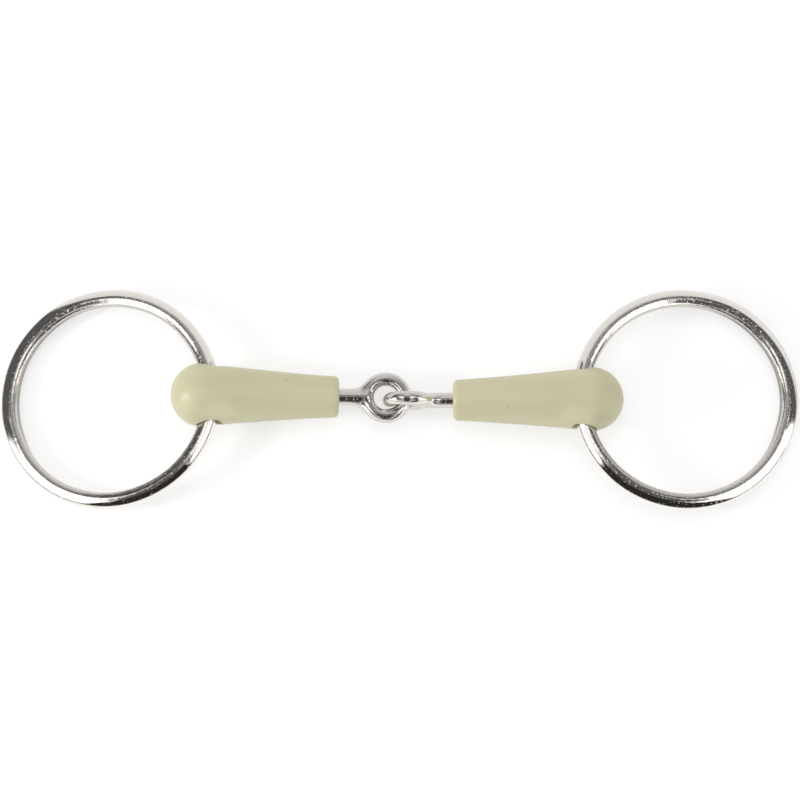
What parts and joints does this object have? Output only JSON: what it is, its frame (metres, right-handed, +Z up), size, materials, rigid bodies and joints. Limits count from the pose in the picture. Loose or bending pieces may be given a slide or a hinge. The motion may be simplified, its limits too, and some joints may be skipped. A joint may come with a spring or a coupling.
{
  "type": "snaffle bit",
  "caption": "Loose-ring snaffle bit: a jointed mouthpiece of steel cores in soft polymer covers, hung on round steel rings.",
  "frame": {"origin": "on the surface that the bit lies on, under the middle of its overall box", "axes": "+X along the mouthpiece to the right-hand ring, +Y across the mouthpiece along the ring holes, +Z up from the surface"},
  "size_m": [0.2796, 0.0798, 0.0225],
  "materials": {
    "ring_steel": "polished stainless steel with fine wear scratches",
    "core_steel": "polished stainless steel, softer edges than the rings",
    "cover_polymer": "satin cream moulded polymer, slightly translucent"
  },
  "bodies": {
    "left_cannon": {"core_left": "core_steel", "cover_left": "cover_polymer"},
    "right_cannon": {"core_right": "core_steel", "cover_right": "cover_polymer"},
    "left_ring": {"ring_left": "ring_steel"},
    "right_ring": {"ring_right": "ring_steel"}
  },
  "joints": [
    {"name": "mouthpiece_fold", "type": "hinge", "parent": "left_cannon", "child": "right_cannon", "pos_m": [-0.00255, -0.00057, 0.00854], "axis": [0, 0, 1], "range_deg": [-90, 90]},
    {"name": "left_ring_swing", "type": "hinge", "parent": "left_cannon", "child": "left_ring", "pos_m": [-0.06554, 0.00102, 0.01112], "axis": [0.0192, 0.9998, 0], "range_deg": [0, 120]},
    {"name": "right_ring_swing", "type": "hinge", "parent": "right_cannon", "child": "right_ring", "pos_m": [0.06556, -0.00045, 0.01112], "axis": [0.0017, -1, 0], "range_deg": [0, 120]}
  ]
}
